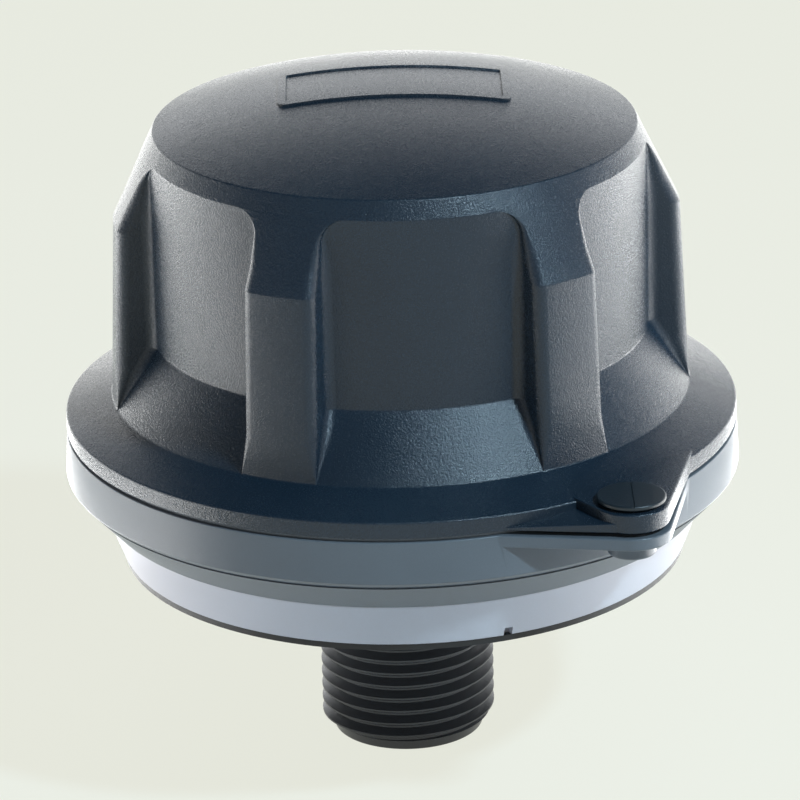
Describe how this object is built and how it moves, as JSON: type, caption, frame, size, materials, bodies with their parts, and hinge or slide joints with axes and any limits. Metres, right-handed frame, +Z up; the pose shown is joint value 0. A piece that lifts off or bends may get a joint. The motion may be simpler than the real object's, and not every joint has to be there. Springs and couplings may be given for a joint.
{
  "type": "breather vent cap",
  "caption": "Tank breather vent cap: a domed grip cap with pockets between ribs, locked to a ring over a light dish, with a pleated element inside and a threaded spigot below.",
  "frame": {"origin": "on the axis at the hub's sealing shoulder, where the thread meets the tank's face", "axes": "+Z up along the axis towards the dome, +X through the locking pin"},
  "size_m": [0.1149, 0.1038, 0.1052],
  "materials": {
    "cap_nylon": "spark-eroded matte black",
    "ring_nylon": "fine matte dark grey",
    "dish_plastic": "smooth matte light grey",
    "grille_plastic": "matte black",
    "spigot_nylon": "satin black",
    "seal_rubber": "matte black rubber",
    "filter_paper": "resin-treated pleated paper",
    "core_steel": "plated steel",
    "end_cap_plastic": "matte dark grey"
  },
  "bodies": {
    "base": {"body_ring": "ring_nylon", "base_dish": "dish_plastic", "inlet_grille": "grille_plastic", "threaded_spigot": "spigot_nylon", "spigot_nut": "spigot_nylon", "tank_seal": "seal_rubber", "splash_baffle": "grille_plastic", "cap_o_ring": "seal_rubber", "ring_gasket": "seal_rubber", "filter_media": "filter_paper", "filter_core": "core_steel", "lower_end_cap": "end_cap_plastic", "upper_end_cap": "end_cap_plastic", "element_seal": "seal_rubber", "element_pad": "seal_rubber"},
    "cap": {"cap": "cap_nylon"},
    "pin": {"locking_pin": "cap_nylon"}
  },
  "joints": [
    {"name": "cap_lift", "type": "slide", "parent": "base", "child": "cap", "axis": [0, 0, 1], "range_m": [0, 0.045]},
    {"name": "pin_pull", "type": "slide", "parent": "cap", "child": "pin", "axis": [0, 0, 1], "range_m": [0, 0.009]}
  ]
}
